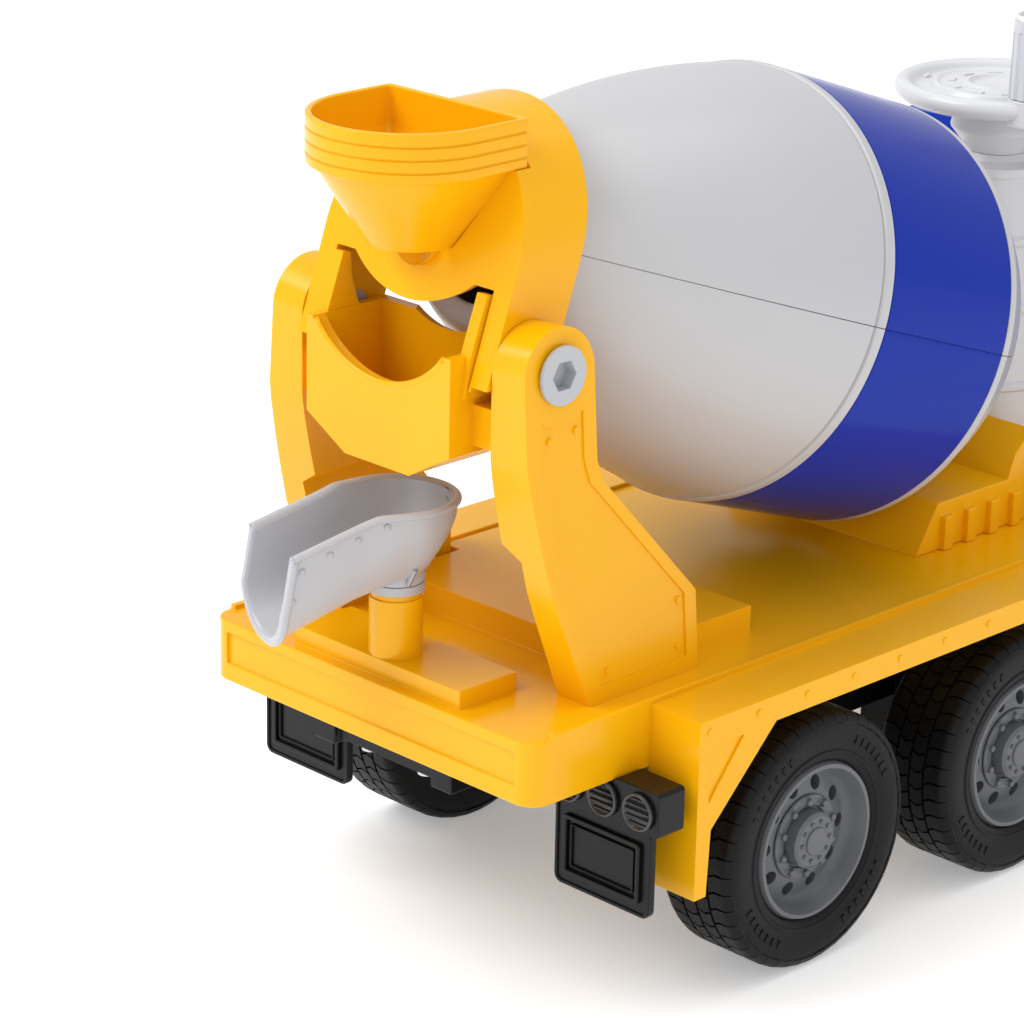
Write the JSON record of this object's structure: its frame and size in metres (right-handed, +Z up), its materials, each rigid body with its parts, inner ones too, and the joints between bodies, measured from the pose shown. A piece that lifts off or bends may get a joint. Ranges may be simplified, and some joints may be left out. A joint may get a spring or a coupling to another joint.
{
  "type": "toy cement mixer truck",
  "caption": "Toy cement mixer truck with a spinning inclined drum, hand crank, hopper, trough, swinging chute and rolling wheels.",
  "frame": {"origin": "centre of the bounding box on the ground, under the truck", "axes": "+X toward the cab, +Y to the left of the truck, +Z up"},
  "size_m": [0.5412, 0.206, 0.3024],
  "materials": {
    "yellow_plastic": "smooth glossy moulded plastic",
    "blue_plastic": "smooth glossy moulded plastic",
    "white_plastic": "satin moulded plastic",
    "light_grey_plastic": "satin moulded plastic",
    "black_plastic": "satin black plastic",
    "lamp_plastic": "dark louvred plastic",
    "tyre_rubber": "soft black tyre rubber",
    "rim_grey": "satin grey plastic",
    "steel": "plain drawn steel",
    "chrome": "bright metallised plastic",
    "window": "smoked clear plastic",
    "lamp_clear": "clear lens over a bright back",
    "lamp_amber": "amber lens plastic"
  },
  "bodies": {
    "truck": {"deck": "yellow_plastic", "fender_right": "yellow_plastic", "fender_left": "yellow_plastic", "rear_guard_right": "black_plastic", "rear_guard_left": "black_plastic", "rear_lamps": "lamp_plastic", "chute_post": "yellow_plastic", "upright_right": "yellow_plastic", "upright_left": "yellow_plastic", "tilt_pin_right": "light_grey_plastic", "tilt_pin_left": "light_grey_plastic", "collar": "yellow_plastic", "hopper": "yellow_plastic", "trough": "yellow_plastic", "cradle": "yellow_plastic", "tower": "white_plastic", "tower_cap": "white_plastic", "chassis_frame": "black_plastic", "fuel_tank": "chrome", "battery_box": "black_plastic", "cab_shell": "blue_plastic", "cab_windscreen": "window", "cab_windows": "window", "grille": "chrome", "bumper": "white_plastic", "headlamps": "lamp_clear", "roof_lamps": "lamp_amber", "mirror_right": "black_plastic", "mirror_left": "black_plastic", "exhaust": "chrome", "frame_screws": "steel"},
    "drum": {"drum_shell_upper": "white_plastic", "drum_shell_lower": "white_plastic", "drum_band_upper": "blue_plastic", "drum_band_lower": "blue_plastic", "drum_shaft": "light_grey_plastic"},
    "crank": {"crank_wheel": "white_plastic", "crank_shaft": "steel"},
    "knob": {"knob_grip": "white_plastic", "knob_cap": "chrome"},
    "chute_arm": {"chute": "light_grey_plastic", "chute_hub": "light_grey_plastic"},
    "wheelset_1": {"axle_1": "steel", "wheel_nuts_1": "rim_grey", "tyre_1_right": "tyre_rubber", "tyre_1_left": "tyre_rubber", "rim_1_right": "rim_grey", "rim_1_left": "rim_grey"},
    "wheelset_2": {"axle_2": "steel", "wheel_nuts_2": "rim_grey", "tyre_2_right": "tyre_rubber", "tyre_2_left": "tyre_rubber", "rim_2_right": "rim_grey", "rim_2_left": "rim_grey"},
    "wheelset_3": {"axle_3": "steel", "wheel_nuts_3": "rim_grey", "tyre_3_right": "tyre_rubber", "tyre_3_left": "tyre_rubber", "rim_3_right": "rim_grey", "rim_3_left": "rim_grey"}
  },
  "joints": [
    {"name": "drum_spin", "type": "hinge", "parent": "truck", "child": "drum", "pos_m": [-0.06422, 0, 0.217], "axis": [0.9455, 0, -0.3256], "continuous": true},
    {"name": "crank_spin", "type": "hinge", "parent": "truck", "child": "crank", "pos_m": [0.09458, 0, 0.258], "axis": [0, 0, 1], "continuous": true},
    {"name": "knob_spin", "type": "hinge", "parent": "crank", "child": "knob", "pos_m": [0.07546, -0.02835, 0.28], "axis": [0, 0, 1], "continuous": true},
    {"name": "chute_swing", "type": "hinge", "parent": "truck", "child": "chute_arm", "pos_m": [-0.21842, 0, 0.14], "axis": [0, 0, 1], "range_deg": [-32, 68]},
    {"name": "axle_1_spin", "type": "hinge", "parent": "truck", "child": "wheelset_1", "pos_m": [-0.11192, 0, 0.0467], "axis": [0, 1, 0], "continuous": true},
    {"name": "axle_2_spin", "type": "hinge", "parent": "truck", "child": "wheelset_2", "pos_m": [0.00258, 0, 0.0467], "axis": [0, 1, 0], "continuous": true},
    {"name": "axle_3_spin", "type": "hinge", "parent": "truck", "child": "wheelset_3", "pos_m": [0.19958, 0, 0.0467], "axis": [0, 1, 0], "continuous": true}
  ],
  "couplings": [
    {"joint": "crank_spin", "follows": "drum_spin", "ratio": 1}
  ]
}
